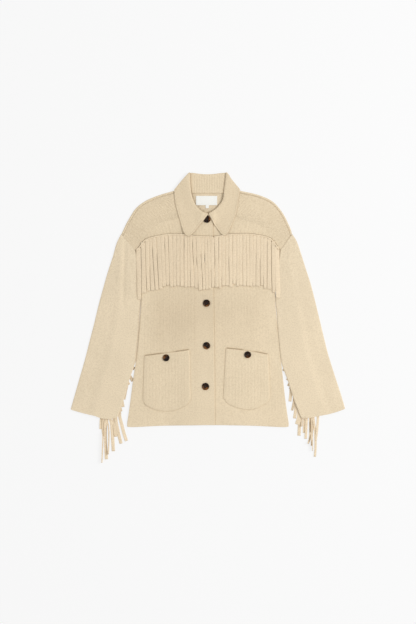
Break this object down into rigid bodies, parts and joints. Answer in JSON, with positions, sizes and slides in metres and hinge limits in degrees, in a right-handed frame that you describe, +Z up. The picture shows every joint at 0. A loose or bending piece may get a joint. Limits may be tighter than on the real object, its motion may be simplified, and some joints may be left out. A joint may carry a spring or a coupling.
{
  "type": "sweater jacket",
  "caption": "Cream knitted shirt-collar jacket laid flat, buttoned, with patch pockets and long fringe under the front yoke and along the sleeves.",
  "frame": {"origin": "middle of the jacket's outline seen from above, on the surface that it lies on", "axes": "+X across the jacket to the viewer's right, +Y from hem to collar, +Z up from the surface"},
  "size_m": [0.796, 0.838, 0.015],
  "materials": {
    "knit": "soft matte cream knit",
    "rib_knit": "soft matte cream knit with upright ribs",
    "sleeve_jersey": "soft matte cream jersey",
    "fringe": "soft matte cream knitted strips",
    "label_tape": "fine white woven tape, bare",
    "horn_button": "polished dark mottled brown with amber depths"
  },
  "bodies": {
    "root": {"back": "knit", "front_left": "knit", "front_right": "knit", "placket": "knit", "yoke_left": "rib_knit", "yoke_right": "rib_knit", "collar": "knit", "sleeve_left": "sleeve_jersey", "sleeve_right": "sleeve_jersey", "pocket_left": "rib_knit", "pocket_right": "rib_knit", "fringe_front_left": "fringe", "fringe_front_right": "fringe", "fringe_sleeve_left": "fringe", "fringe_sleeve_right": "fringe", "button_1": "horn_button", "button_2": "horn_button", "button_3": "horn_button", "button_4": "horn_button", "button_5": "horn_button", "button_pocket_left": "horn_button", "button_pocket_right": "horn_button", "label": "label_tape", "size_tab": "label_tape"}
  },
  "joints": []
}
